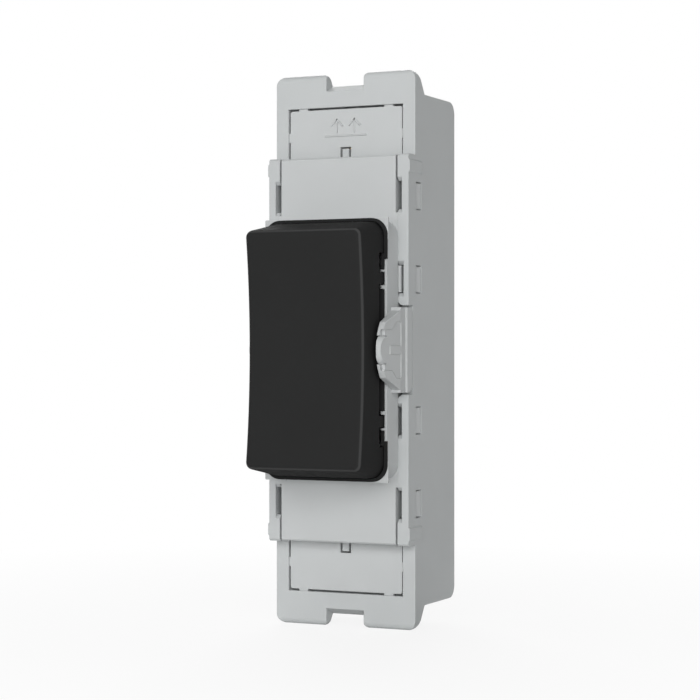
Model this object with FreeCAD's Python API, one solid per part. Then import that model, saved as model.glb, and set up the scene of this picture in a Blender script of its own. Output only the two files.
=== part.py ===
import FreeCAD, Part
import math
import os

Vector = FreeCAD.Vector

# Grid switch module with one rocker, in millimetres.
# Seen from the front, X runs to the right and Z up, and the front faces -Y.
# The origin is the middle of the module, on the front face of its flange.

# Moulded body, behind the front face of the flange
body_width = 18.2
body_height = 60.5
body_depth = 12.2
side_wall = 1.4
back_wall = 1.2
end_wall = 1.8
back_edge_radius = 1.5

# Snap ears at the two ends of the flange
ear_reach = 2.75
ear_tip = 0.9
ear_root = 2.85
ear_front_radius = 0.8
ear_corner_radius = 1.2
notch_width = 4.9
notch_depth = 2.1
notch_rise = 0.8
notch_radius = 0.6

# Raised middle of the body, with its two side rails
middle_height = 45.8
rail_height = 2.0
rail_chamfer = 0.25
rail_gap_height = 10.4
rail_gap_depth = 1.3
rail_end_radius = 0.8

# Crush ribs on the outside of the rails, near their ends
crush_rib_height = 1.6
crush_rib_proud = 0.15
crush_rib_inset = 0.6
crush_rib_length = 3.7

# Snap windows: a slot in each rail, open to the front, and a pocket through the wall
window_places = (8.3, 18.1)
window_height = 3.3
slot_width = 0.55
slot_bevel = 0.45
bead_slot_width = 0.77
pocket_front = 0.2
pocket_depth = 1.6

# Recess for the terminal covers at each end of the flange
recess_wall = 1.58
recess_length = 6.1
recess_depth = 1.65
recess_ledge = 0.55

# Front cover
cover_gap = 0.24
cover_end_gap = 0.1
cover_thickness = 1.5
cover_chamfer = 0.2
locating_rib_height = 2.3
locating_rib_place = 14.9
hook_width = 3.0
hook_thickness = 0.7
hook_nose = 1.3
hook_clearance = 0.1
hook_flush = 0.06
bead_side = 0.6
bead_height = 3.1
bead_sink = 0.1
bead_depth = 1.2

# Boss of the front cover, which the rocker sinks into
boss_height = 3.25
boss_wall = 0.3
boss_shoulder = 0.35
well_floor = 0.8
well_sink = 0.9
ledge_width = 0.6
corner_pad_reach = 0.14
corner_pad_height = 2.6
corner_pad_thickness = 0.3
finger_thickness = (0.25, 0.42)
finger_reach = 0.5
finger_height = 1.2

# Pivot ears of the front cover
pivot_height = 5.0
ear_gap = 0.1
ear_rib = 0.64
ear_top = 8.6
ear_draft = 0.45
ear_half_width = 4.95
ear_slope_foot = 0.35
ear_shoulder_width = 3.2
ear_shoulder_top = 7.45
ear_button_width = 1.65
ear_button_place = 6.85
ear_button_radius = 1.5
ear_button_slope = 0.4
ear_step_width = 0.7
ear_step_depth = 0.35
flange_top = 2.5
band_top = 4.1
flange_proud = 0.05
flange_radius = 1.0
flange_lip = 0.24
flange_lip_radius = 0.18
ear_pocket_depth = 0.15
ear_pocket_height = 6.6
ear_pocket_back = 3.77
ear_pocket_radius = 0.35
ear_pocket_shoulder = 4.9
ear_pocket_front = 5.95
ear_strip_width = 1.0
ear_strip_front = 6.3

# Collar around the rocker
collar_overhang = 0.1
collar_rim = 0.25
collar_bar = 0.7
collar_radius = 2.0
collar_fit = 0.04
collar_end_zone = 10.8
strip_length = 7.0
stub_width = 0.3
collar_notch = 2.3

# Rocker
rocker_side_room = 1.72
rocker_front_height = 27.4
rocker_base_height = 29.54
rocker_reach = 11.75
rocker_dish = 0.98
rocker_shoulder = 6.65
rocker_brim = 5.65
rocker_skirt = 1.6
rocker_wall = 1.1
rocker_front_wall = 1.2
rocker_front_corner = 0.75
rocker_brim_corner = 1.95
rocker_edge_radius = 0.6
rocker_swing = 5.0
rocker_clearance = 0.13
arch_length = 22.4
arch_rise = 0.85
arch_radius = 0.25
tooth_place = 8.25
tooth_width = 1.3
tooth_drop = 1.45
trunnion_radius = 1.2
trunnion_clearance = 0.05
trunnion_engagement = 0.36
trunnion_end_play = 0.08
lug_radius = 1.75
tube_radius = 2.4
tube_end = 2.9
rib_thickness = 1.0
rib_depth = 3.2

# Plunger and its spring, inside the rocker's tube
plunger_radius = 1.45
plunger_clearance = 0.08
plunger_guide = 5.4
plunger_nose_radius = 1.1
plunger_nose_dome = 2.0
plunger_gap = 0.05
spring_wire = 0.4
spring_half_turns = 6
spring_wire_sides = 5
spring_end_gap = 0.05

# Rocking contact
rocking_place = 2.2
rocking_ratio = 1.6
rocking_width = 4.4
rocking_length = 21.0
rocking_thickness = 0.8
rocking_rise = 0.7
bead_radius = 0.75
dish_depth = 0.08
rocking_dish_radius = 2.4
contact_place = 9.2
contact_radius = 1.4
contact_edge = 0.35
contact_dome = 3.4
contact_gap = 0.03
fixed_contact_radius = 1.6
fixed_contact_height = 0.6

# Brass bars, and the cradle that the rocking contact sits in
bar_thickness = 0.8
cradle_width = 3.2
cradle_length = 2.8
cradle_rim = 0.45
cradle_gap = 0.05
pad_width = 5.0
pad_length = 3.2
long_bar_width = 2.15
bar_edge_gap = 0.05
neck_width = 1.85

# Terminal blocks and their screws
block_height = 6.8
block_gap = 0.05
divider = 1.2
wire_radius = 2.0
wire_wall = 0.6
entry_clearance = 0.3
entry_funnel = 0.5
screw_wall = 0.85
screw_clearance = 0.05
screw_tip_gap = 0.3
screw_head_overhang = 0.4
screw_head_height = 1.4
screw_head_lift = 0.25
screw_slot_width = 0.7
screw_slot_depth = 0.6
access_clearance = 0.25

# Supports moulded inside the body
curtain_thickness = 1.0
curtain_inset = 0.1
curtain_clearance = 0.16
post_thickness = 0.8
post_clearance = 0.25
post_height = 9.6
pedestal_thickness = 0.8
ledge_rib_width = 1.4

# Terminal covers in the end recesses
end_cover_gap = 0.19
end_cover_end_gap = 0.25
end_cover_sink = 0.2
end_cover_thickness = 1.4
end_cover_radius = 0.3
nub_width = 1.15
nub_inset = 1.73
nub_thickness = 0.6
side_nub_height = 1.1
side_nub_place = 25.55
latch_slot_width = 1.4
latch_slot_length = 1.3
latch_finger_width = 0.84
latch_finger_gap = 0.2

# How near two places may lie and still count as one
same_place = 0.01

# Places worked out from the sizes above
half_width = body_width / 2
rocker_width = body_width - 2 * rocker_side_room
body_end = body_height / 2
ear_end = body_end + ear_reach
middle_end = middle_height / 2
cavity_half = half_width - side_wall
floor = body_depth - back_wall
recess_half = half_width - recess_wall
recess_end = middle_end + recess_length
chamber_half = recess_half - recess_ledge - 2 * bar_edge_gap
chamber_end = body_end - end_wall
cover_half = cavity_half - cover_gap
cover_end = middle_end - cover_end_gap
cover_back = cover_thickness - rail_height
boss_top = rail_height + boss_height
boss_half = rocker_width / 2 + rocker_clearance + boss_wall
boss_end = rocker_base_height / 2 + rocker_clearance + boss_wall
well_half = boss_half - boss_wall
well_end = boss_end - boss_wall
well_bottom = rail_height - well_sink
ledge_top = rail_height + boss_shoulder + collar_fit
well_root = cover_half - boss_wall
collar_top = boss_top + collar_rim
bar_top = ledge_top + collar_bar
bar_outer = well_half - collar_fit
bar_inner = well_half - ledge_width
skirt_end = rocker_brim - rocker_skirt
swing = math.radians(rocker_swing)
block_outer = chamber_end - block_gap
block_inner = block_outer - block_height
wire_place = block_inner + wire_wall + wire_radius
block_width = chamber_half - divider / 2 - 2 * block_gap
switched_place = divider / 2 + block_gap + block_width / 2
plunger_tip = rocking_place - rocking_rise + dish_depth - plunger_gap


def rocking_contact_reach():
    """How far back the lowest point of a moving contact comes at the end of its swing."""
    angle = swing * rocking_ratio
    dome_centre = rocking_thickness - rocking_rise + contact_edge + dome_height() - contact_dome
    return rocking_place + dome_centre * math.cos(angle) + contact_place * math.sin(angle) + contact_dome


def dome_height():
    return contact_dome - math.sqrt(contact_dome ** 2 - contact_radius ** 2)


fixed_contact_front = rocking_contact_reach() + contact_gap
bar_front = fixed_contact_front + fixed_contact_height
block_front = bar_front + bar_thickness
screw_depth = (block_front + floor) / 2
screw_radius = (floor - block_front) / 2 - screw_clearance - screw_wall
screw_head_radius = screw_radius + screw_head_overhang

ACROSS = Vector(1, 0, 0)
DEPTH = Vector(0, 1, 0)
UP = Vector(0, 0, 1)
ORIGIN = Vector(0, 0, 0)


def box(x, y, z):
    """A block between two limits on each axis."""
    return Part.makeBox(x[1] - x[0], y[1] - y[0], z[1] - z[0], Vector(x[0], y[0], z[0]))


def rod(radius, start, end):
    """A round bar between two points."""
    along = end.sub(start)
    return Part.makeCylinder(radius, along.Length, start, along)


def cone(start_radius, end_radius, start, end):
    """A taper between two points."""
    along = end.sub(start)
    return Part.makeCone(start_radius, end_radius, along.Length, start, along)


def prism(points, along):
    """A straight prism on a flat outline."""
    return Part.Face(Part.makePolygon(points + points[:1])).extrude(along)


def side_prism(outline, x):
    """A prism along X, on an outline of (y, z) points."""
    return prism([Vector(x[0], y, z) for y, z in outline], Vector(x[1] - x[0], 0, 0))


def end_prism(outline, z):
    """A prism along Z, on an outline of (x, y) points."""
    return prism([Vector(x, y, z[0]) for x, y in outline], Vector(0, 0, z[1] - z[0]))


def edges_along(shape, axis, chosen):
    """The straight edges of a shape that run along an axis and whose middle is chosen."""
    found = []
    for edge in shape.Edges:
        if not isinstance(edge.Curve, Part.Line):
            continue
        if abs(edge.tangentAt(edge.FirstParameter).dot(axis)) > 0.999 and chosen(edge.CenterOfMass):
            found.append(edge)
    return found


def rounded(shape, radius, axis, chosen=lambda middle: True):
    """A shape with a radius on the chosen edges along an axis."""
    return shape.makeFillet(radius, edges_along(shape, axis, chosen))


def chamfered(shape, size, axis, chosen=lambda middle: True):
    """A shape with a chamfer on the chosen edges along an axis."""
    return shape.makeChamfer(size, edges_along(shape, axis, chosen))


def plate(half_x, half_z, radius, y):
    """A plate that faces the front and has rounded corners."""
    return rounded(box((-half_x, half_x), y, (-half_z, half_z)), radius, DEPTH)


def images(shape, *normals):
    """A shape and its mirror images in planes through the origin."""
    shapes = [shape]
    for normal in normals:
        shapes += [each.mirror(ORIGIN, normal) for each in shapes]
    return shapes


def joined(shapes):
    """One solid made of shapes that touch or overlap."""
    return shapes[0].fuse(shapes[1:]).removeSplitter()


def housing_shell():
    """The outside of the body: flange, ears, raised rails and crush ribs."""
    body = box((-half_width, half_width), (0, body_depth), (-body_end, body_end))
    body = rounded(body, back_edge_radius, ACROSS, lambda middle: middle.y > body_depth / 2)
    rise = (ear_end - body_end) / (ear_root - ear_tip)
    root = body_end - back_edge_radius
    ear_side = [(0, root), (0, ear_end), (ear_tip, ear_end),
                (ear_root, ear_end - rise * (ear_root - ear_tip)), (ear_root, root)]
    ear = side_prism(ear_side, (-half_width, half_width))
    ear = rounded(ear, ear_front_radius, ACROSS,
                  lambda middle: middle.y < ear_tip / 2 and middle.z > body_end)
    corner_cut = corner_outside(ear_corner_radius)
    ear = ear.cut(corner_cut)
    middle = box((-half_width, half_width), (-rail_height, 0), (-middle_end, middle_end))
    middle = chamfered(middle, rail_chamfer, ACROSS, lambda centre: centre.y < -rail_height / 2)
    rib_top = middle_end - crush_rib_inset
    crush_rib = box((half_width - side_wall, half_width + crush_rib_proud),
                    (-rail_height, crush_rib_length - rail_height),
                    (rib_top - crush_rib_height, rib_top))
    crush_rib = chamfered(crush_rib, crush_rib_proud, DEPTH, lambda centre: centre.x > half_width)
    return joined([body, middle] + images(ear, UP) + images(crush_rib, ACROSS, UP))


def corner_outside(radius):
    """What is cut from the two corners of the upper ear to round them, seen from the front."""
    block = box((half_width - radius, half_width + radius), (-rail_height, body_depth),
                (ear_end - radius, ear_end + radius))
    kept = rod(radius, Vector(half_width - radius, -rail_height, ear_end - radius),
               Vector(half_width - radius, body_depth, ear_end - radius))
    return images(block.cut(kept), ACROSS)


def ear_notch():
    """The notch in the middle of the upper ear, with its floor rising to the back."""
    low = ear_end - notch_depth
    reach = ear_root
    rise_end = (notch_depth - notch_rise) * (ear_root - ear_tip) / ear_reach
    side = [(-notch_radius, low), (0, low), (ear_tip + rise_end, low + notch_rise), (reach, low + notch_rise),
            (reach, ear_end + notch_radius), (-notch_radius, ear_end + notch_radius)]
    notch = side_prism(side, (-notch_width / 2, notch_width / 2))
    lip = box((notch_width / 2, notch_width / 2 + notch_radius), (-notch_radius, reach),
              (ear_end - notch_radius, ear_end + notch_radius))
    centre = Vector(notch_width / 2 + notch_radius, -notch_radius, ear_end - notch_radius)
    rounding = rod(notch_radius, centre, centre + DEPTH * (notch_radius + reach))
    return joined([notch] + images(lip.cut(rounding), ACROSS))


def rail_window(place, width):
    """The slot and the pocket of one snap window in the right-hand rail, at a height."""
    half = window_height / 2
    outer = cavity_half + width
    slot = box((cavity_half - cover_gap, outer), (-rail_height, pocket_front), (place - half, place + half))
    mouth = [(-rail_height - slot_bevel, half + 2 * slot_bevel), (slot_bevel - rail_height, half),
             (slot_bevel - rail_height, -half), (-rail_height - slot_bevel, -half - 2 * slot_bevel)]
    bevel = side_prism([(y, place + z) for y, z in mouth], (cavity_half - cover_gap, outer))
    pocket = box((cavity_half - cover_gap, half_width), (pocket_front, pocket_front + pocket_depth),
                 (place - half, place + half))
    return slot.fuse([bevel, pocket])


def rail_gap():
    """The gap in the right-hand rail that the pivot ear sits in."""
    half = rail_gap_height / 2
    gap = box((cavity_half - cover_gap, half_width + crush_rib_proud),
              (-rail_height, rail_gap_depth - rail_height), (-half, half))
    corner = box((cavity_half, cavity_half + rail_end_radius), (-rail_height, rail_gap_depth - rail_height),
                 (half, half + rail_end_radius))
    centre = Vector(cavity_half + rail_end_radius, -rail_height, half + rail_end_radius)
    kept = rod(rail_end_radius, centre, centre + DEPTH * rail_gap_depth)
    return gap.fuse(images(corner.cut(kept), UP))


def housing_inside():
    """The hollow of the body: switch chamber, cover recesses and terminal chambers."""
    chamber = box((-cavity_half, cavity_half), (-rail_height, floor), (-middle_end, middle_end))
    recess = box((-recess_half, recess_half), (0, recess_depth), (middle_end - curtain_thickness, recess_end))
    lower = box((-chamber_half, chamber_half), (0, floor), (middle_end - curtain_thickness, chamber_end))
    hollow = chamber.fuse(images(recess, UP) + images(lower, UP))
    return hollow


def curtain_wall():
    """The wall between the switch chamber and the upper terminal chamber, with its latch finger."""
    top = middle_end - curtain_inset
    wall = box((-cavity_half, cavity_half), (cover_back + curtain_clearance, bar_front - curtain_clearance),
               (top - curtain_thickness, top))
    finger_end = middle_end + latch_slot_length - latch_finger_gap
    finger = box((-latch_finger_width / 2, latch_finger_width / 2),
                 (end_cover_sink, end_cover_sink + end_cover_thickness), (top, finger_end))
    return wall.fuse(finger)


def terminal_cheeks():
    """The walls beside the single block of the upper end."""
    inner = block_width / 2 + block_gap
    cheek = box((inner, chamber_half), (bar_front, floor), (block_inner, chamber_end))
    return images(cheek, ACROSS)


def pedestals():
    """The supports of the pads, the guide posts of the rocking contact and the side ledges."""
    pad = box((pad_width / 2 - pedestal_thickness, pad_width / 2), (block_front, floor),
              (contact_place - pad_length / 2, contact_place + pad_length / 2))
    post_inner = rocking_width / 2 + post_clearance
    post = box((post_inner, post_inner + post_thickness), (floor - post_height, floor),
               (-cradle_length / 2, cradle_length / 2))
    ledge_end = block_inner - bar_thickness
    ledge = box((cavity_half - ledge_rib_width, cavity_half), (block_front, floor), (-ledge_end, ledge_end))
    return images(pad, ACROSS, UP) + images(post, ACROSS) + images(ledge, ACROSS)


def entry_hole(x, place):
    """The wire entry in the back wall, widened at its mouth."""
    radius = wire_radius + entry_clearance
    inner = Vector(x, floor, place)
    outer = Vector(x, body_depth, place)
    hole = rod(radius, inner, outer)
    mouth = cone(radius, radius + entry_funnel, outer - DEPTH * entry_funnel, outer)
    return hole.fuse(mouth)


def access_hole(x, end):
    """The hole in an end wall that a screwdriver reaches the screw through."""
    radius = screw_head_radius + access_clearance
    inner = Vector(x, screw_depth, end * (chamber_end - block_gap))
    return rod(radius, inner, Vector(x, screw_depth, end * body_end))


def housing():
    shell = housing_shell().cut([housing_inside()] + images(ear_notch(), UP))
    for place in window_places:
        shell = shell.cut(images(rail_window(place, slot_width), ACROSS, UP))
    shell = shell.cut(images(rail_window(window_places[0], bead_slot_width), ACROSS))
    shell = shell.cut(images(rail_gap(), ACROSS))
    wall = box((-divider / 2, divider / 2), (bar_front, floor), (-chamber_end, -block_inner))
    shell = joined([shell, wall] + images(curtain_wall(), UP) + terminal_cheeks() + pedestals())
    holes = [entry_hole(0, wire_place), access_hole(0, 1)]
    for x in (-switched_place, switched_place):
        holes += [entry_hole(x, -wire_place), access_hole(x, -1)]
    return shell.cut(holes).removeSplitter()


def snap_hook(place):
    """A hook of the front cover, on the right at a height."""
    z = (place - hook_width / 2, place + hook_width / 2)
    arm_end = pocket_front + pocket_depth
    arm = box((cover_half - hook_thickness, cover_half), (cover_back, arm_end), z)
    front = pocket_front + hook_clearance
    nose = [(cover_half - hook_thickness, front), (cover_half + hook_nose, front),
            (half_width - hook_flush, arm_end - hook_clearance),
            (cover_half - hook_thickness, arm_end - hook_clearance)]
    return arm.fuse(end_prism(nose, z))


def edge_bead():
    """The rounded bead on the right edge of the front cover, in its upper inner window."""
    front = bead_sink - rail_height
    bead = box((cover_half, cover_half + bead_side), (front, front + bead_depth),
               (window_places[0] - bead_height / 2, window_places[0] + bead_height / 2))
    return rounded(bead, bead_side / 2, UP,
                   lambda middle: middle.x > cover_half and middle.y < front + same_place)


def pivot_ear():
    """The right-hand pivot ear: a flange over the side wall, and a rib beside the rocker."""
    inner = boss_half + ear_gap
    rib_outer = inner + ear_rib
    outer = half_width + flange_proud
    foot = rail_gap_depth - rail_height - cover_gap
    section = [(inner, -ear_top), (rib_outer, -ear_top), (rib_outer + ear_draft, -band_top),
               (outer - flange_lip, -flange_top), (outer, -flange_top), (outer, foot), (well_half, foot),
               (well_half, -boss_top), (inner, -boss_top)]
    block = end_prism(section, (-ear_half_width, ear_half_width))
    block = rounded(block, flange_radius, ACROSS, lambda middle: middle.y > foot - flange_proud)
    block = rounded(block, flange_lip_radius, UP,
                    lambda middle: middle.x > outer - same_place and middle.y < same_place - flange_top)
    cuts = ear_steps(rib_outer) + [ear_pocket(rib_outer), ear_button(inner, rib_outer)]
    return block.common(ear_outline(outer)).cut(cuts)


def ear_button(inner, rib_outer):
    """What is cut from the front of the pivot ear around the sloping rim of its round button."""
    centre = Vector(inner, -ear_button_place, 0)
    slope = ear_button_slope / ear_rib
    reach = ear_rib + ear_draft
    kept = cone(ear_button_radius + ear_button_slope, ear_button_radius + ear_button_slope - reach * slope,
                centre, centre + ACROSS * reach)
    around = box((inner, inner + reach), (-ear_top, -ear_button_place), (-ear_button_width, ear_button_width))
    return around.cut(kept)


def ear_outline(outer):
    """What the pivot ear is kept to, seen from the side: a flange with a low arch on top."""
    slope_foot = ear_half_width - ear_slope_foot
    upper = Vector(well_half, -ear_shoulder_top, ear_shoulder_width)
    lower = Vector(well_half, -ear_shoulder_top, -ear_shoulder_width)
    crown = Part.Arc(upper, Vector(well_half, -ear_top, 0), lower).toShape()
    corners = [lower,
               Vector(well_half, -band_top, -slope_foot),
               Vector(well_half, -band_top, -ear_half_width),
               Vector(well_half, body_depth, -ear_half_width),
               Vector(well_half, body_depth, ear_half_width),
               Vector(well_half, -band_top, ear_half_width),
               Vector(well_half, -band_top, slope_foot),
               upper]
    sides = [Part.LineSegment(start, end).toShape() for start, end in zip(corners, corners[1:])]
    return Part.Face(Part.Wire([crown] + sides)).extrude(Vector(outer - well_half, 0, 0))


def ear_steps(rib_outer):
    """The two shallow steps beside the round button of the pivot ear."""
    front = (-ear_top, -ear_shoulder_top)
    step = box((rib_outer - ear_step_depth, rib_outer + ear_draft), front,
               (ear_button_width, ear_button_width + ear_step_width))
    return images(step, UP)


def ear_pocket(rib_outer):
    """The shallow D-shaped pocket in the outer face of the pivot ear, with a strip across it."""
    half = ear_pocket_height / 2
    step = ear_button_width + ear_step_width
    x = (rib_outer - ear_draft, half_width)
    outline_yz = [(-ear_pocket_back, half), (-ear_pocket_shoulder, half), (-ear_pocket_front, step),
                  (-ear_top, step), (-ear_top, -step), (-ear_pocket_front, -step),
                  (-ear_pocket_shoulder, -half), (-ear_pocket_back, -half)]
    pocket = side_prism(outline_yz, x)
    pocket = rounded(pocket, ear_pocket_radius, ACROSS,
                     lambda middle: middle.y > -ear_pocket_back - same_place)
    strip = box(x, (-ear_strip_front, -ear_pocket_back), (-ear_strip_width / 2, ear_strip_width / 2))
    floor_of_pocket = ear_skin(rib_outer, ear_pocket_depth)
    top_of_strip = ear_skin(rib_outer, ear_pocket_depth / 2)
    return pocket.cut([floor_of_pocket, strip.common(top_of_strip)])


def ear_skin(rib_outer, depth):
    """The inside of the pivot ear, up to a depth below its outer face."""
    half = ear_pocket_height
    face = rib_outer - depth
    slope = ear_draft / (ear_top - band_top)
    section = [(rib_outer - ear_draft, -ear_top), (face, -ear_top),
               (face + slope * (ear_top - ear_pocket_back), -ear_pocket_back),
               (rib_outer - ear_draft, -ear_pocket_back)]
    return end_prism(section, (-half, half))


def boss():
    """The walls of the well that the rocker sinks into, with the ledges of the collar."""
    wall = plate(boss_half, boss_end, collar_radius, (-boss_top, -rail_height))
    root = plate(cover_half, boss_end, collar_radius, (-rail_height, -well_bottom))
    reach = boss_end + corner_pad_reach
    pad = box((boss_half - corner_pad_height, boss_half + corner_pad_reach),
              (-boss_top, corner_pad_thickness - boss_top), (reach - corner_pad_height, reach))
    pad = rounded(pad, corner_pad_reach, DEPTH, lambda middle: middle.x > boss_half and middle.z > boss_end)
    return joined([wall, root] + images(pad, ACROSS, UP))


def well():
    """The space of the well, open to the front and narrower between the rails."""
    front = -boss_top - collar_rim
    step = -rail_height - boss_shoulder
    upper = plate(well_half, well_end, collar_radius - boss_wall, (front, step))
    lower = plate(well_root, well_end, collar_radius - boss_wall, (step, -well_bottom))
    return joined([upper, lower])


def well_ledges():
    """The ledges that carry the collar, and the fingers that hold it down."""
    ledge = box((bar_inner, well_root), (-ledge_top + collar_fit, -well_bottom),
                (-collar_end_zone, collar_end_zone))
    shapes = images(ledge, ACROSS)
    half_slot = tooth_width / 2 + rocker_clearance
    for thickness, side in zip(finger_thickness, (1, -1)):
        near = tooth_place + side * half_slot
        far = near + side * thickness
        finger = box((well_half - finger_reach, well_half), (-boss_top, finger_height - boss_top),
                     (min(near, far), max(near, far)))
        shapes += images(finger, ACROSS, UP)
    return shapes


def front_cover():
    cover = box((-cover_half, cover_half), (-rail_height, cover_back), (-cover_end, cover_end))
    cover = chamfered(cover, cover_chamfer, ACROSS, lambda middle: middle.y < cover_back - cover_chamfer)
    rib = box((cover_half, cavity_half), (-rail_height, cover_back),
              (locating_rib_place - locating_rib_height / 2, locating_rib_place + locating_rib_height / 2))
    hooks = []
    for place in window_places:
        hooks += images(snap_hook(place), ACROSS, UP)
    under = box((-cover_half, cover_half), (-well_bottom, well_floor - well_bottom),
                (-boss_end, boss_end))
    body = joined([cover, boss(), under] + images(rib, ACROSS, UP) + hooks + images(edge_bead(), ACROSS))
    body = body.cut(well())
    body = joined([body] + well_ledges() + images(pivot_ear(), ACROSS))
    slot_half_width = plunger_radius + rocker_clearance
    slot_half_height = plunger_radius + rocker_clearance + pivot_height * math.sin(swing)
    slot = box((-slot_half_width, slot_half_width), (-well_bottom, cover_thickness),
               (-slot_half_height, slot_half_height))
    bore_end = trunnion_end() + trunnion_end_play
    bore = rod(trunnion_radius + trunnion_clearance, Vector(-bore_end, -pivot_height, 0),
               Vector(bore_end, -pivot_height, 0))
    return body.cut([slot, bore]).removeSplitter()


def trunnion_end():
    """Where the rocker's trunnions end, inside the blind bores of the pivot ears."""
    return boss_half + ear_gap + trunnion_engagement


def collar():
    """The rim around the rocker: two U-shaped ends, joined by bars beside the rocker."""
    rim = plate(boss_half + collar_overhang, boss_end + collar_overhang / 2, collar_radius,
                (-collar_top, -boss_top))
    rim = rim.cut(plate(well_half, well_end, collar_radius - boss_wall, (-collar_top, -boss_top)))
    middle = box((-half_width, half_width), (-collar_top, -boss_top), (-collar_end_zone, collar_end_zone))
    rim = rim.cut(middle)
    bar = box((bar_inner, bar_outer), (-bar_top, -ledge_top), (-collar_end_zone, collar_end_zone))
    strip = box((bar_inner, bar_outer), (-collar_top, -bar_top), (collar_notch, strip_length))
    finger_end = tooth_place + tooth_width / 2 + rocker_clearance + finger_thickness[0]
    stub = box((bar_outer - stub_width, bar_outer), (-collar_top, -ledge_top),
               (finger_end + collar_fit, collar_end_zone))
    link = box((bar_outer - stub_width, boss_half + collar_overhang), (-collar_top, -boss_top),
               (collar_end_zone - stub_width, collar_end_zone + stub_width))
    parts = [rim] + images(bar, ACROSS) + images(strip, ACROSS, UP) + images(stub, ACROSS, UP)
    return joined(parts + images(link, ACROSS, UP))


def rocker_body(inset, front):
    """A rocker-shaped block with drafted ends, inset from the outside of the rocker."""
    half = rocker_width / 2 - inset
    front_half = rocker_front_height / 2 - inset
    base_half = rocker_base_height / 2 - inset
    profile = [(-front, -front_half), (-front, front_half), (-rocker_shoulder, base_half),
               (-skirt_end, base_half), (-skirt_end, -base_half), (-rocker_shoulder, -base_half)]
    return side_prism(profile, (-half, half))


def rocker_corner():
    """What is cut from the upper right corner of the rocker: all but a cone that widens to the brim."""
    front = Vector(rocker_width / 2, -rocker_reach, rocker_front_height / 2)
    brim = Vector(rocker_width / 2, -rocker_shoulder, rocker_base_height / 2)
    length = (brim - front).Length
    along = (brim - front) * (1 / length)
    end_normal = ACROSS.cross(along)
    end_normal = end_normal * (1 if end_normal.z > 0 else -1)
    widening = (rocker_brim_corner - rocker_front_corner) / length
    sections = []
    centres = []
    radii = []
    for place in (-rocker_front_corner, length + rocker_skirt * 2):
        radius = rocker_front_corner + widening * place
        edge = front + along * place
        centre = edge - (ACROSS + end_normal) * radius
        sections.append(Part.makePolygon([edge + (ACROSS + end_normal) * radius,
                                          centre + ACROSS * 2 * radius, centre,
                                          centre + end_normal * 2 * radius,
                                          edge + (ACROSS + end_normal) * radius]))
        centres.append(centre)
        radii.append(radius * math.sqrt(1 + widening ** 2 / (1 + widening ** 2)))
    wedge = Part.makeLoft(sections, True, True)
    return wedge.cut(cone(radii[0], radii[1], centres[0], centres[1]))


def dished(block, front):
    """A block with the rocker's hollow front, whose lowest line lies at a place in front of the flange."""
    radius = dish_curve()
    centre = Vector(-half_width, -front - radius, 0)
    return block.cut(rod(radius, centre, centre + ACROSS * body_width))


def dish_curve():
    """The radius of the rocker's hollow front."""
    half_height = rocker_front_height / 2
    return (half_height ** 2 + rocker_dish ** 2) / (2 * rocker_dish)


def rocker_arch(side_clear):
    """What is cut from the side walls of the rocker beside the collar's bars."""
    arch = box((side_clear, half_width), (-rocker_brim - arch_rise, -skirt_end),
               (-arch_length / 2, arch_length / 2))
    return rounded(arch, arch_radius, ACROSS, lambda middle: middle.y < -rocker_brim)


def rocker():
    half = rocker_width / 2
    inner = half - rocker_wall
    low = rocker_reach - rocker_dish
    block = rocker_body(0, rocker_reach).cut(images(rocker_corner(), ACROSS, UP))
    body = softened_front(dished(block, low))
    hollow_front = low - rocker_front_wall
    hollow = rocker_body(rocker_wall, hollow_front)
    shell = body.cut(hollow).cut(images(rocker_arch(inner - rocker_wall), ACROSS))
    tooth = box((inner, half), (-rocker_brim - arch_rise, tooth_drop - rocker_brim - arch_rise),
                (tooth_place - tooth_width / 2, tooth_place + tooth_width / 2))
    pivot = Vector(inner, -pivot_height, 0)
    lug = rod(lug_radius, pivot, Vector(half, -pivot_height, 0))
    trunnion = rod(trunnion_radius, pivot, Vector(trunnion_end(), -pivot_height, 0))
    tube = rod(tube_radius, Vector(0, -hollow_front, 0), Vector(0, -tube_end, 0))
    rib = box((-inner, inner), (-hollow_front, rib_depth - hollow_front),
              (-rib_thickness / 2, rib_thickness / 2))
    bore = rod(plunger_radius + plunger_clearance, Vector(0, -hollow_front, 0), Vector(0, -tube_end, 0))
    shell = joined([shell, tube, rib] + images(tooth, ACROSS, UP) + images(lug.fuse(trunnion), ACROSS))
    return shell.cut(bore)


def softened_front(block):
    """The rocker with a radius around its hollow front."""
    front = [face for face in block.Faces if isinstance(face.Surface, Part.Cylinder)
             and face.Surface.Radius > rocker_front_height]
    return block.makeFillet(rocker_edge_radius, front[0].Edges)


def plunger():
    """The pin that the spring pushes on the rocking contact, with a round nose."""
    tip = Vector(0, plunger_tip, 0)
    guide_end = Vector(0, -well_bottom + well_floor, 0)
    guide = rod(plunger_radius, guide_end - DEPTH * plunger_guide, guide_end)
    neck = rod(plunger_nose_radius, guide_end, tip)
    dome = Part.makeSphere(plunger_nose_dome, tip - DEPTH * plunger_nose_dome)
    return joined([guide, neck.common(dome)])


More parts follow.
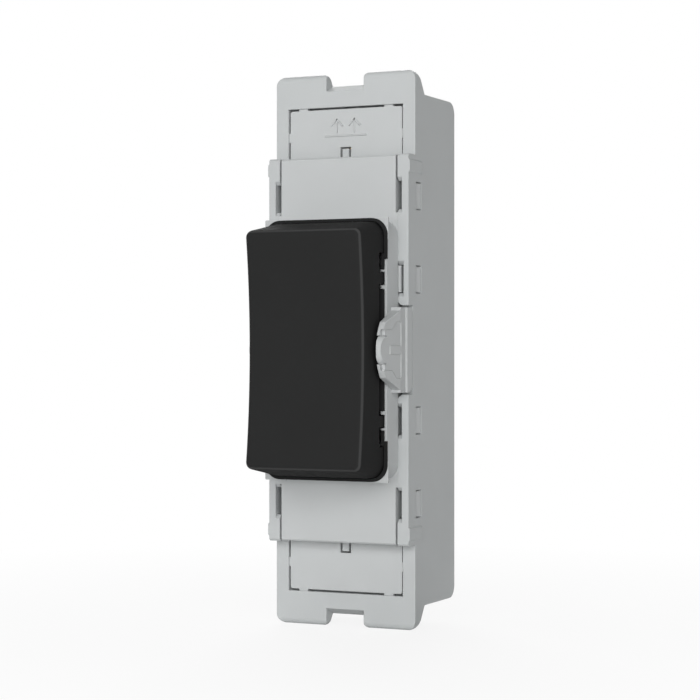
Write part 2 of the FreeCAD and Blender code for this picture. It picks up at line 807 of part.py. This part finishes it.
def plunger_spring():
    """The coil spring between the rocker and the plunger, as half turns of a six-sided wire."""
    front = -(rocker_reach - rocker_dish - rocker_front_wall) + spring_end_gap
    back = -well_bottom + well_floor - plunger_guide - spring_end_gap
    rise = (back - front - spring_wire) / spring_half_turns
    start = Vector(plunger_radius - spring_wire / 2, front + spring_wire / 2, 0)
    corners = []
    for corner in range(spring_wire_sides + 1):
        angle = 2 * math.pi * corner / spring_wire_sides
        corners.append(Vector(math.cos(angle), math.sin(angle), 0) * (spring_wire / 2))
    half_turns = []
    side = 1
    for half_turn in range(spring_half_turns):
        section = Part.Face(Part.makePolygon([start + corner for corner in corners]))
        end = Vector(-start.x, start.y + rise, 0)
        middle = (start + end) * 0.5
        half_turns.append(section.revolve(middle, (start - middle).cross(UP) * side, 180))
        start = end
        side = -side
    return joined(half_turns)


def rocking_contact():
    """The rocking strip, with a bead across its back that sits in the cradle."""
    front = rocking_place - rocking_rise
    strip = plate(rocking_width / 2, rocking_length / 2, contact_edge, (front, front + rocking_thickness))
    end = Vector(rocking_width / 2, rocking_place, 0)
    bead = rod(bead_radius, end - ACROSS * rocking_width, end)
    bead = bead.cut(box((-half_width, half_width), (-body_depth, front + rocking_thickness / 2),
                        (-body_height, body_height)))
    dish = Part.makeSphere(rocking_dish_radius, Vector(0, front + dish_depth - rocking_dish_radius, 0))
    return joined([strip, bead]).cut(dish)


def moving_contact():
    """The domed tip welded to the upper end of the rocking contact."""
    back = rocking_place - rocking_rise + rocking_thickness
    tip = back + contact_edge + dome_height()
    head = rod(contact_radius, Vector(0, back, contact_place), Vector(0, tip, contact_place))
    dome = Part.makeSphere(contact_dome, Vector(0, tip - contact_dome, contact_place))
    return head.common(dome)


def fixed_contact():
    """The flat contact welded to the pad of a switched bar, at the upper end."""
    return rod(fixed_contact_radius, Vector(0, fixed_contact_front, contact_place),
               Vector(0, bar_front, contact_place))


def contact_pad():
    """The pad of a switched bar under the upper fixed contact."""
    z = (contact_place - pad_length / 2, contact_place + pad_length / 2)
    return box((-pad_width / 2, pad_width / 2), (bar_front, block_front), z)


def upper_bar():
    """The bar from the upper contact down the left side to its terminal block."""
    left = -(switched_place + block_width / 2)
    top = contact_place + pad_length / 2
    arm = box((left, -pad_width / 2), (bar_front, block_front), (contact_place - pad_length / 2, top))
    leg = box((left, left + long_bar_width), (bar_front, block_front), (-wire_place, top))
    foot = box((left, left + block_width), (bar_front, block_front), (-block_outer, -block_inner))
    return joined([contact_pad(), arm, leg, foot])


def lower_bar():
    """The bar from the lower contact straight to its terminal block."""
    left = switched_place - block_width / 2
    pad = contact_pad().mirror(ORIGIN, UP)
    neck = box((left, left + neck_width), (bar_front, block_front), (-wire_place, -contact_place))
    foot = box((left, left + block_width), (bar_front, block_front), (-block_outer, -block_inner))
    return joined([pad, neck, foot])


def common_bar():
    """The bar under the rocking contact, folded up into a cradle and against its block."""
    half = cradle_width / 2
    base_front = floor - bar_thickness
    base = box((-half, half), (base_front, floor), (-cradle_length / 2, block_inner))
    rim = rocking_place + cradle_rim
    cheek = box((half - bar_thickness, half), (rim, floor), (-cradle_length / 2, cradle_length / 2))
    seat = rod(bead_radius + cradle_gap, Vector(-half, rocking_place, 0), Vector(half, rocking_place, 0))
    upright = box((-block_width / 2, block_width / 2), (block_front, floor),
                  (block_inner - bar_thickness, block_inner))
    return joined([base, upright] + images(cheek.cut(seat), ACROSS))


def terminal_block(x, end):
    """A terminal block with its wire bore and the hole of its screw."""
    z = sorted((end * block_inner, end * block_outer))
    block = box((x - block_width / 2, x + block_width / 2), (block_front, floor), z)
    bore = rod(wire_radius, Vector(x, block_front, end * wire_place), Vector(x, floor, end * wire_place))
    hole = rod(screw_radius + screw_clearance, Vector(x, screw_depth, end * wire_place),
               Vector(x, screw_depth, end * block_outer))
    return block.cut([bore, hole])


def terminal_screw(x, end):
    """A slotted terminal screw, backed out of the way of the wire."""
    tip = wire_place + wire_radius + screw_tip_gap
    head = block_outer + screw_head_lift
    top = head + screw_head_height
    shank = rod(screw_radius, Vector(x, screw_depth, end * tip), Vector(x, screw_depth, end * head))
    cap = rod(screw_head_radius, Vector(x, screw_depth, end * head), Vector(x, screw_depth, end * top))
    slot = box((x - screw_head_radius, x + screw_head_radius),
               (screw_depth - screw_slot_width / 2, screw_depth + screw_slot_width / 2),
               sorted((end * (top - screw_slot_depth), end * top)))
    return joined([shank, cap]).cut(slot)


def end_cover():
    """The cover over the upper terminal chamber."""
    half = recess_half - end_cover_gap
    inner = middle_end + end_cover_gap / 2
    outer = recess_end - end_cover_end_gap
    y = (end_cover_sink, end_cover_sink + end_cover_thickness)
    cover = box((-half, half), y, (inner, outer))
    cover = rounded(cover, end_cover_radius, DEPTH, lambda middle: middle.z > recess_end - recess_length / 2)
    nub_y = (end_cover_sink, end_cover_sink + nub_thickness)
    nub_place = half - nub_inset
    nub = box((nub_place - nub_width / 2, nub_place + nub_width / 2), nub_y, (outer, recess_end))
    side_nub = box((half, recess_half), nub_y,
                   (side_nub_place - side_nub_height / 2, side_nub_place + side_nub_height / 2))
    slot = box((-latch_slot_width / 2, latch_slot_width / 2), y, (inner, middle_end + latch_slot_length))
    return joined([cover] + images(nub, ACROSS) + images(side_nub, ACROSS)).cut(slot)


def main():
    os.makedirs("parts", exist_ok=True)
    blocks = {"common": (0, 1), "upper": (-switched_place, -1), "lower": (switched_place, -1)}
    pieces = {
        "housing": housing(),
        "front_cover": front_cover(),
        "top_end_cover": end_cover(),
        "bottom_end_cover": end_cover().mirror(ORIGIN, UP),
        "collar": collar(),
        "rocker": rocker(),
        "plunger": plunger(),
        "plunger_spring": plunger_spring(),
        "rocking_contact": rocking_contact(),
        "upper_moving_contact": moving_contact(),
        "lower_moving_contact": moving_contact().mirror(ORIGIN, UP),
        "upper_fixed_contact": fixed_contact(),
        "lower_fixed_contact": fixed_contact().mirror(ORIGIN, UP),
        "common_bar": common_bar(),
        "upper_contact_bar": upper_bar(),
        "lower_contact_bar": lower_bar(),
        "terminal_screws": Part.makeCompound([terminal_screw(*place) for place in blocks.values()]),
    }
    for name, place in blocks.items():
        pieces[name + "_terminal_block"] = terminal_block(*place)
    for name, shape in pieces.items():
        print(name, shape.isValid(), len(shape.Solids), round(shape.Volume, 2))
        shape.exportStep("parts/" + name + ".step")


main()
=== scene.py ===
"""Finishes a grid switch module and sets it in a plain pale studio."""

import math

import bmesh
import bpy
from bpy.props import FloatProperty, FloatVectorProperty, PointerProperty
from mathutils import Matrix, Vector


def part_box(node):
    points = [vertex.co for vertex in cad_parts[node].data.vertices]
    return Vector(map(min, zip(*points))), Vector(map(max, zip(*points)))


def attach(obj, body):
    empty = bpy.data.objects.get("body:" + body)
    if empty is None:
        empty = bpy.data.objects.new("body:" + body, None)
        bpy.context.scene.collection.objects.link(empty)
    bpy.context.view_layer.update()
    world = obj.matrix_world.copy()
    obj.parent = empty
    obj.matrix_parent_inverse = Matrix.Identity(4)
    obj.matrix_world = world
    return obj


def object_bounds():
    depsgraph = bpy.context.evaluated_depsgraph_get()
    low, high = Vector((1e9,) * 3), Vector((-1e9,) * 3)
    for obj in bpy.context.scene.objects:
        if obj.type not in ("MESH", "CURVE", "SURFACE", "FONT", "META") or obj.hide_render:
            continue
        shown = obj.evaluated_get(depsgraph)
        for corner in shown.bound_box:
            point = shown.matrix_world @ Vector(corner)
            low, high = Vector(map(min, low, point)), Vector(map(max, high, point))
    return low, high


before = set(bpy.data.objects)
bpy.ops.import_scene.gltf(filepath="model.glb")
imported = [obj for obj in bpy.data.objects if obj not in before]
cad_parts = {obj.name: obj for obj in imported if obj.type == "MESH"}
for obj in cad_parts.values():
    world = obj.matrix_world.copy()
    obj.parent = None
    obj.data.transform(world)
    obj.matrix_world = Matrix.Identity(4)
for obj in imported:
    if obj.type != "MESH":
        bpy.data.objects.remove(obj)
cad_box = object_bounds()

bl_info = {
    "name": "Grid switch module",
    "version": (1, 0, 0),
    "blender": (4, 5, 0),
    "location": "3D View > Sidebar > Switch",
    "description": "Moulded, rolled and plated finishes for a grid switch module, with a pale studio",
    "category": "Object",
}

MM = 0.001
OPAQUE = 1
WHITE = (1, 1, 1, OPAQUE)
FRONTWARDS = (0, -1, 0)

# The specular level of dull mouldings, which show little of the white ground in their sides
DULL = 0.02

# How a mask changes the colour: the share of a material's own colour where the mask is 1
CLOUD_SHARE = 0.93
PATCH_SHARE = 0.82
# The metal edges get a painted highlight, a lighter share of their colour
METAL_EDGE_HIGHLIGHT_SHARE = 1.15

# How far the roughness varies with the clouds and grain of plastic and the patches and lines of metal
CLOUD_ROUGHNESS = 0.08
GRAIN_ROUGHNESS = 0.12
PATCH_ROUGHNESS = 0.18
LINE_ROUGHNESS = 0.15

# How sharply the painted highlight on the edges sets in, and how many rays the softened edges take
EDGE_HIGHLIGHT_CONTRAST = 4
EDGE_SAMPLES = 6

# The painted highlight band on the rocker's rounded edges: how much its middle faces the front, 0 for a
# side and 1 for a front face, how far the band reaches from there, and how sharply it sets in
RIM_HIGHLIGHT_FACING = 0.68
RIM_HIGHLIGHT_REACH = 0.24
RIM_HIGHLIGHT_CONTRAST = 8

# The width of a raised line at its top, as a share of its foot
RAISED_TOP = 0.6

# How many straight sides stand in for the floor's round edge, and how near the camera can see
FLOOR_SIDES = 64
NEAREST_SEEN = 10 * MM


def colour_property(name, description, default):
    return FloatVectorProperty(name=name, description=description, subtype="COLOR", size=3, min=0,
                               max=1, default=default)


def length_property(name, description, millimetres):
    return FloatProperty(name=name, description=description, unit="LENGTH", min=0,
                         default=millimetres * MM)


def power_property(name, description, watts):
    return FloatProperty(name=name, description=description, unit="POWER", min=0, default=watts)


class PlasticSettings(bpy.types.PropertyGroup):
    """Colours and moulding texture of the plastic pieces."""

    housing: colour_property("Housing", "Light grey of the moulded housing", (0.53, 0.548, 0.55))
    cover: colour_property("Covers", "Light grey of the front and end covers", (0.54, 0.556, 0.558))
    rocker: colour_property("Rocker", "Satin black of the rocker", (0.0248, 0.0251, 0.0251))
    collar: colour_property("Collar", "Matt black of the collar", (0.022, 0.0225, 0.0225))
    guide: colour_property("Plunger", "Off-white of the sliding plunger", (0.72, 0.7, 0.63))
    grain: length_property("Grain", "Width of the finest grain left by the mould", 0.16)
    grain_depth: length_property("Grain depth", "Depth of the grain left by the mould", 0.003)
    cloud: length_property("Clouding", "Width of the soft clouds where the melt has flowed", 7)
    edge: length_property("Edge radius", "Radius that the light sees on moulded edges", 0.13)


class MetalSettings(bpy.types.PropertyGroup):
    """Colours and marks of the metal pieces."""

    brass: colour_property("Brass", "Rolled and machined brass", (0.74, 0.55, 0.27))
    silver: colour_property("Silver", "Silver alloy of the contacts", (0.86, 0.85, 0.82))
    steel: colour_property("Plated steel", "Steel of the screws and the spring", (0.62, 0.6, 0.55))
    line: length_property("Line spacing", "Spacing of the fine lines left by rolling", 0.05)
    line_depth: length_property("Line depth", "Depth of the fine lines left by rolling", 0.002)
    patch: length_property("Patches", "Width of the dull patches", 3)
    edge: length_property("Edge radius", "Radius that the light sees on sheared edges", 0.06)


class MarkSettings(bpy.types.PropertyGroup):
    """Sizes of the this-way-up mark on the upper end cover."""

    height: length_property("Height", "Height of the whole mark", 1.95)
    head: length_property("Head", "Half the width of an arrow's head", 0.7)
    spacing: length_property("Spacing", "Distance between the two arrows", 2.3)
    line: length_property("Line", "Width of the raised lines", 0.22)
    rise: length_property("Rise", "How far the lines stand out of the cover", 0.09)
    base: length_property("Base line", "Length of the line under the arrows", 5.2)
    gap: length_property("Gap", "Height of the arrows' feet above the line under them", 0.44)
    place: length_property("Place", "Height of the mark's middle above the cover's inner edge", 3.55)


class StudioSettings(bpy.types.PropertyGroup):
    """Camera, lamps and floor."""

    azimuth: FloatProperty(name="Camera azimuth", subtype="ANGLE", default=math.radians(25.0),
                           description="How far the camera stands round to the right")
    distance: length_property("Camera distance", "Distance from the camera to the module", 240.8)
    aside: length_property("Camera offset", "How far the camera stands to its own right", 0.602)
    lens: FloatProperty(name="Lens", description="Focal length", unit="CAMERA", default=103.94)
    key: power_property("Key lamp", "Power of the large lamp in front", 13.5)
    top: power_property("Top lamp", "Power of the lamp above", 0.5)
    back: power_property("Back lamp", "Power of the lamp behind", 7.0)
    sky: FloatProperty(name="Sky", description="Strength of the even light all round", min=0,
                       default=0.1)
    floor: colour_property("Floor", "Pale floor", (0.86, 0.86, 0.86))
    floor_size: length_property("Floor size", "Radius of the floor", 3000)
    floor_glow: FloatProperty(name="Floor glow", subtype="FACTOR", min=0, max=1, default=0.8,
                              description="How white the floor looks just under the module")
    shadow_reach: length_property("Shadow reach", "How far round the module its shadow shows", 110)


class Value:
    """What a node gives at each point of a surface, so that shader maths is written as plain sums."""

    def __init__(self, graph, socket):
        self.graph = graph
        self.socket = socket

    def maths(self, operation, *terms):
        return self.graph.node("ShaderNodeMath", {"operation": operation}, dict(enumerate(terms)))

    def __add__(self, other):
        return self.maths("ADD", self, other)

    def __sub__(self, other):
        return self.maths("SUBTRACT", self, other)

    def __rsub__(self, other):
        return self.maths("SUBTRACT", other, self)

    def __mul__(self, other):
        return self.maths("MULTIPLY", self, other)

    def __abs__(self):
        return self.maths("ABSOLUTE", self)

    __radd__ = __add__
    __rmul__ = __mul__

    def clamped(self):
        return self.graph.node("ShaderNodeClamp", {}, {"Value": self})

    def swing(self, reach):
        """Turns a value from 0 to 1 into one from minus half the reach to plus half of it."""
        return (self - 0.5) * reach


class Graph:
    """The nodes of a material or of the world, under construction."""

    def __init__(self, owner):
        owner.use_nodes = True
        self.tree = owner.node_tree

    def plug(self, node, socket, value):
        """Links a node's socket to what another node gives, or sets it to a plain value."""
        if isinstance(value, Value):
            self.tree.links.new(value.socket, node.inputs[socket])
        else:
            node.inputs[socket].default_value = value

    def node(self, kind, settings, sockets, output=0):
        """An output of a new node. Its settings are set first, then its sockets' values or links."""
        node = self.tree.nodes.new(kind)
        for setting, value in settings.items():
            setattr(node, setting, value)
        for socket, value in sockets.items():
            self.plug(node, socket, value)
        return Value(self, node.outputs[output])

    def match(self, one, other):
        """1 where two directions are the same, 0 where they stand square to each other."""
        return self.node("ShaderNodeVectorMath", {"operation": "DOT_PRODUCT"}, {0: one, 1: other},
                         "Value")

    def seen_directly(self):
        """1 for what the camera sees, by itself or in a shiny or clear surface."""
        rays = [self.node("ShaderNodeLightPath", {}, {}, ray)
                for ray in ("Is Camera Ray", "Is Glossy Ray", "Is Transmission Ray")]
        return sum(rays).clamped()


class Finish(Graph):
    """A material, built on the shader that it starts with."""

    def __init__(self, name, colour, **shader_values):
        self.material = bpy.data.materials.new(name)
        super().__init__(self.material)
        self.shader = self.tree.nodes["Principled BSDF"]
        self.colour = (*colour, OPAQUE)
        self.set("Base Color", self.colour)
        for socket, value in shader_values.items():
            self.set(socket.replace("_", " "), value)

    def set(self, socket, value):
        """Sets or links a socket of the material's shader."""
        self.plug(self.shader, socket, value)

    def place(self, scale):
        """Where a point lies on its own piece. A scale under 1 draws a pattern out along that axis."""
        here = self.node("ShaderNodeTexCoord", {}, {}, "Object")
        return self.node("ShaderNodeMapping", {}, {"Vector": here, "Scale": scale})

    def noise(self, width, detail, scale=(1, 1, 1), roughness=0.5):
        """Soft noise from 0 to 1, whose blobs are about so wide."""
        return self.node("ShaderNodeTexNoise", {},
                         {"Vector": self.place(scale), "Scale": 1 / width, "Detail": detail,
                          "Roughness": roughness})

    def softened(self, radius):
        """The direction of the surface, with its edges rounded over."""
        return self.node("ShaderNodeBevel", {"samples": EDGE_SAMPLES}, {"Radius": radius})

    def edges(self, radius):
        """A mask of the outer and inner edges, 1 on the edge, where a painted highlight goes."""
        soft = self.softened(radius)
        hard = self.node("ShaderNodeNewGeometry", {}, {}, "Normal")
        return ((1 - self.match(soft, hard)) * EDGE_HIGHLIGHT_CONTRAST).clamped()

    def rounding(self):
        """A mask of the rounded edges around a front face, 1 in the middle of their band, where a
        painted highlight goes.
        """
        normal = self.node("ShaderNodeTexCoord", {}, {}, "Normal")
        off_middle = abs(self.match(normal, FRONTWARDS) - RIM_HIGHLIGHT_FACING)
        return ((RIM_HIGHLIGHT_REACH - off_middle) * RIM_HIGHLIGHT_CONTRAST).clamped()

    def shade(self, mask, share):
        """Mixes towards a lighter or darker share of the material's own colour."""
        other = (*(min(channel * share, 1) for channel in self.colour[:3]), OPAQUE)
        start = self.shader.inputs["Base Color"]
        under = Value(self, start.links[0].from_socket) if start.links else self.colour
        mixed = self.node("ShaderNodeMix", {"data_type": "RGBA"},
                          {"Factor": mask, "A": under, "B": other}, "Result")
        self.set("Base Color", mixed)

    def bump(self, height, depth, edge_radius):
        """Raises the surface by a height from 0 to 1 times the depth, over softly lit edges."""
        self.set("Normal", self.node("ShaderNodeBump", {},
                                     {"Height": height, "Distance": depth, "Strength": 1.0,
                                      "Normal": self.softened(edge_radius)}))


def moulded(name, colour, roughness, edge_highlight_share, specular=DULL, rim_highlight_share=None):
    """A moulded plastic: clouded by its flow, with a fine grain, softly lit edges and painted
    highlights on its edges.
    """
    plastic = bpy.context.scene.switch_plastic
    finish = Finish(name, colour, Specular_IOR_Level=specular)
    cloud = finish.noise(plastic.cloud, detail=3.0)
    grain = finish.noise(plastic.grain, detail=3.0, roughness=0.7)
    finish.shade(cloud, CLOUD_SHARE)
    # Painted highlight: the edges are lightened towards a share of the colour
    finish.shade(finish.edges(plastic.edge), edge_highlight_share)
    # Painted highlight: an optional lighter band on the rounded rims around a front face
    if rim_highlight_share:
        finish.shade(finish.rounding(), rim_highlight_share)
    finish.set("Roughness", roughness + cloud.swing(CLOUD_ROUGHNESS) + grain.swing(GRAIN_ROUGHNESS))
    finish.bump(grain, plastic.grain_depth, plastic.edge)
    return finish.material


def rolled(name, colour, roughness, scale=(1, 1, 1)):
    """A rolled, drawn or plated metal, with dull patches, fine marks that the scale draws out and a
    painted highlight on its edges.
    """
    metal = bpy.context.scene.switch_metal
    finish = Finish(name, colour, Metallic=1.0)
    lines = finish.noise(metal.line, detail=4.0, scale=scale)
    patches = finish.noise(metal.patch, detail=4.0)
    finish.shade(patches, PATCH_SHARE)
    # Painted highlight on the edges
    finish.shade(finish.edges(metal.edge), METAL_EDGE_HIGHLIGHT_SHARE)
    finish.set("Roughness", roughness + patches.swing(PATCH_ROUGHNESS) + lines.swing(LINE_ROUGHNESS))
    finish.bump(lines, metal.line_depth, metal.edge)
    return finish.material


def dress(material, *nodes):
    """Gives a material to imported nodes."""
    for name in nodes:
        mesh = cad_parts[name].data
        mesh.materials.clear()
        mesh.materials.append(material)


def piece_from(mould, name, material):
    """A new piece in the scene from a mesh under construction."""
    mesh = bpy.data.meshes.new(name)
    mould.to_mesh(mesh)
    mould.free()
    mesh.materials.append(material)
    piece = bpy.data.objects.new(name, mesh)
    bpy.context.scene.collection.objects.link(piece)
    return piece


class SWITCH_OT_housing(bpy.types.Operator):
    """Light grey moulded finish of the housing"""

    bl_idname = "switch.housing"
    bl_label = "Housing"

    def execute(self, context):
        colour = context.scene.switch_plastic.housing
        dress(moulded("housing grey", colour, roughness=0.46, edge_highlight_share=1.12), "housing")
        return {"FINISHED"}


class SWITCH_OT_covers(bpy.types.Operator):
    """Light grey moulded finish of the front cover and the two end covers"""

    bl_idname = "switch.covers"
    bl_label = "Covers"

    def execute(self, context):
        colour = context.scene.switch_plastic.cover
        grey = moulded("cover grey", colour, roughness=0.44, edge_highlight_share=1.12)
        dress(grey, "front_cover", "top_end_cover", "bottom_end_cover")
        return {"FINISHED"}


class SWITCH_OT_rocker(bpy.types.Operator):
    """Satin black finish of the rocker, and the off-white plunger inside it"""

    bl_idname = "switch.rocker"
    bl_label = "Rocker"

    def execute(self, context):
        plastic = context.scene.switch_plastic
        # The rocker's edges and the rounded rims of its front get a painted highlight
        black = moulded("rocker black", plastic.rocker, roughness=0.74, edge_highlight_share=1.3,
                        rim_highlight_share=2.2)
        dress(black, "rocker")
        white = moulded("plunger white", plastic.guide, roughness=0.35, edge_highlight_share=1.05, specular=0.5)
        dress(white, "plunger")
        return {"FINISHED"}


class SWITCH_OT_collar(bpy.types.Operator):
    """Matt black finish of the collar around the rocker"""

    bl_idname = "switch.collar"
    bl_label = "Collar"

    def execute(self, context):
        colour = context.scene.switch_plastic.collar
        dress(moulded("collar black", colour, roughness=0.7, edge_highlight_share=1.3), "collar")
        return {"FINISHED"}


class SWITCH_OT_metal(bpy.types.Operator):
    """Brass bars and blocks, silver contacts, plated screws and spring"""

    bl_idname = "switch.metal"
    bl_label = "Metal"

    def execute(self, context):
        metal = context.scene.switch_metal
        strip = rolled("rolled brass", metal.brass, roughness=0.3, scale=(1, 1, 0.04))
        dress(strip, "common_bar", "upper_contact_bar", "lower_contact_bar", "rocking_contact")
        block = rolled("drawn brass", metal.brass, roughness=0.34, scale=(0.05, 1, 1))
        dress(block, "common_terminal_block", "upper_terminal_block", "lower_terminal_block")
        silver = rolled("silver", metal.silver, roughness=0.25)
        dress(silver, "upper_moving_contact", "lower_moving_contact", "upper_fixed_contact",
              "lower_fixed_contact")
        plated = rolled("plated steel", metal.steel, roughness=0.32)
        dress(plated, "terminal_screws", "plunger_spring")
        return {"FINISHED"}


def raised_line(mould, start, end, width, rise, front):
    """A raised line with sloping sides, between two places (x, z) of a face that looks to the front."""
    start, end = Vector(start), Vector(end)
    along = (end - start).normalized()
    across = Vector((-along.y, along.x))
    rings = []
    for y, share in ((front, 1.0), (front - rise, RAISED_TOP)):
        ring = []
        for point, away in ((start, -1), (end, 1)):
            for side in (-away, away):
                x, z = point + (along * away + across * side) * width / 2 * share
                ring.append(mould.verts.new((x, y, z)))
        rings.append(ring)
    foot, top = rings
    mould.faces.new(top)
    mould.faces.new(foot[::-1])
    for corner in range(len(foot)):
        following = (corner + 1) % len(foot)
        mould.faces.new((foot[corner], foot[following], top[following], top[corner]))


class SWITCH_OT_mark(bpy.types.Operator):
    """Raised this-way-up mark on the upper end cover"""

    bl_idname = "switch.mark"
    bl_label = "This-way-up mark"

    def execute(self, context):
        mark = context.scene.switch_mark
        _, front, inner_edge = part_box("top_end_cover")[0]
        bottom = inner_edge + mark.place - mark.height / 2
        top = bottom + mark.height
        lines = [((-mark.base / 2, bottom), (mark.base / 2, bottom))]
        for x in (-mark.spacing / 2, mark.spacing / 2):
            tip = (x, top)
            lines.append(((x, bottom + mark.gap), tip))
            for side in (-mark.head, mark.head):
                lines.append(((x + side, top - mark.head), tip))
        mould = bmesh.new()
        for start, end in lines:
            raised_line(mould, start, end, mark.line, mark.rise, front)
        bmesh.ops.recalc_face_normals(mould, faces=mould.faces)
        colour = context.scene.switch_plastic.cover
        grey = moulded("mark grey", colour, roughness=0.5, edge_highlight_share=1.0, specular=0.08)
        piece = piece_from(mould, "this_way_up_mark", grey)
        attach(piece, "body")
        return {"FINISHED"}


def lamp(name, place, width, height, power):
    """A rectangular lamp that looks at the module, with its place and size in metres."""
    light = bpy.data.lights.new(name, "AREA")
    light.shape = "RECTANGLE"
    light.size = width
    light.size_y = height
    light.energy = power
    holder = bpy.data.objects.new(name, light)
    holder.location = place
    holder.rotation_euler = Vector(place).to_track_quat("Z", "Y").to_euler()
    bpy.context.scene.collection.objects.link(holder)


def pale_floor(studio):
    """A pale material that looks white to the camera, but for the shadow near the module."""
    finish = Finish("pale floor", studio.floor, Roughness=0.9, Specular_IOR_Level=0.0)
    here = finish.node("ShaderNodeTexCoord", {}, {}, "Object")
    away = finish.node("ShaderNodeVectorMath", {"operation": "LENGTH"}, {0: here}, "Value")
    fading = (away * (1 / studio.shadow_reach)).clamped()
    glow = finish.node("ShaderNodeEmission", {}, {"Color": WHITE})
    share = finish.seen_directly() * (studio.floor_glow + (1 - studio.floor_glow) * fading)
    matt = Value(finish, finish.shader.outputs[0])
    mixed = finish.node("ShaderNodeMixShader", {}, {0: share, 1: matt, 2: glow})
    finish.plug(finish.tree.nodes["Material Output"], "Surface", mixed)
    return finish.material


class SWITCH_OT_studio(bpy.types.Operator):
    """Pale floor, soft lamps, even sky and the camera"""

    bl_idname = "switch.studio"
    bl_label = "Studio"

    def execute(self, context):
        studio = context.scene.switch_studio
        self.floor(studio)
        self.sky(studio)
        lamp("key lamp", place=(0.29, -0.85, 0.12), width=1.3, height=0.9, power=studio.key)
        lamp("top lamp", place=(-0.2, -0.2, 0.75), width=0.5, height=0.5, power=studio.top)
        lamp("back lamp", place=(-0.37, 0.73, 0.37), width=0.6, height=0.6, power=studio.back)
        self.camera(studio)
        context.scene.view_settings.view_transform = "Standard"
        return {"FINISHED"}

    def floor(self, studio):
        ground = cad_box[0][2]
        mould = bmesh.new()
        bmesh.ops.create_circle(mould, cap_ends=True, segments=FLOOR_SIDES, radius=studio.floor_size,
                                matrix=Matrix.Translation((0, 0, ground)))
        floor = piece_from(mould, "studio_floor", pale_floor(studio))

    def sky(self, studio):
        world = bpy.data.worlds.new("even sky")
        bpy.context.scene.world = world
        graph = Graph(world)
        background = graph.tree.nodes["Background"]
        graph.plug(background, "Color", WHITE)
        graph.plug(background, "Strength", studio.sky + (1 - studio.sky) * graph.seen_directly())

    def camera(self, studio):
        back = Vector((math.sin(studio.azimuth), -math.cos(studio.azimuth), 0))
        right = Vector((math.cos(studio.azimuth), math.sin(studio.azimuth), 0))
        camera = bpy.data.objects.new("camera", bpy.data.cameras.new("camera"))
        camera.data.lens = studio.lens
        camera.data.clip_start = NEAREST_SEEN
        camera.location = back * studio.distance + right * studio.aside
        camera.rotation_euler = (math.pi / 2, 0, studio.azimuth)
        bpy.context.scene.collection.objects.link(camera)
        bpy.context.scene.camera = camera


class SWITCH_PT_module(bpy.types.Panel):
    """Finishes and studio of the grid switch module"""

    bl_idname = "SWITCH_PT_module"
    bl_label = "Grid switch module"
    bl_space_type = "VIEW_3D"
    bl_region_type = "UI"
    bl_category = "Switch"

    def draw(self, context):
        for group in SETTINGS:
            box = self.layout.box()
            settings = getattr(context.scene, group)
            for name in settings.__annotations__:
                box.prop(settings, name)
        for operator in OPERATORS:
            self.layout.operator(operator.bl_idname)


SETTINGS = {
    "switch_plastic": PlasticSettings,
    "switch_metal": MetalSettings,
    "switch_mark": MarkSettings,
    "switch_studio": StudioSettings,
}
OPERATORS = (SWITCH_OT_housing, SWITCH_OT_covers, SWITCH_OT_rocker, SWITCH_OT_collar, SWITCH_OT_metal,
             SWITCH_OT_mark, SWITCH_OT_studio)
CLASSES = (*SETTINGS.values(), *OPERATORS, SWITCH_PT_module)


def register():
    for cls in CLASSES:
        bpy.utils.register_class(cls)
    for name, group in SETTINGS.items():
        setattr(bpy.types.Scene, name, PointerProperty(type=group))


def unregister():
    for name in SETTINGS:
        delattr(bpy.types.Scene, name)
    for cls in reversed(CLASSES):
        bpy.utils.unregister_class(cls)


def main():
    register()
    bpy.ops.switch.housing()
    bpy.ops.switch.covers()
    bpy.ops.switch.rocker()
    bpy.ops.switch.collar()
    bpy.ops.switch.metal()
    bpy.ops.switch.mark()
    bpy.ops.switch.studio()


if __name__ == "__main__":
    main()
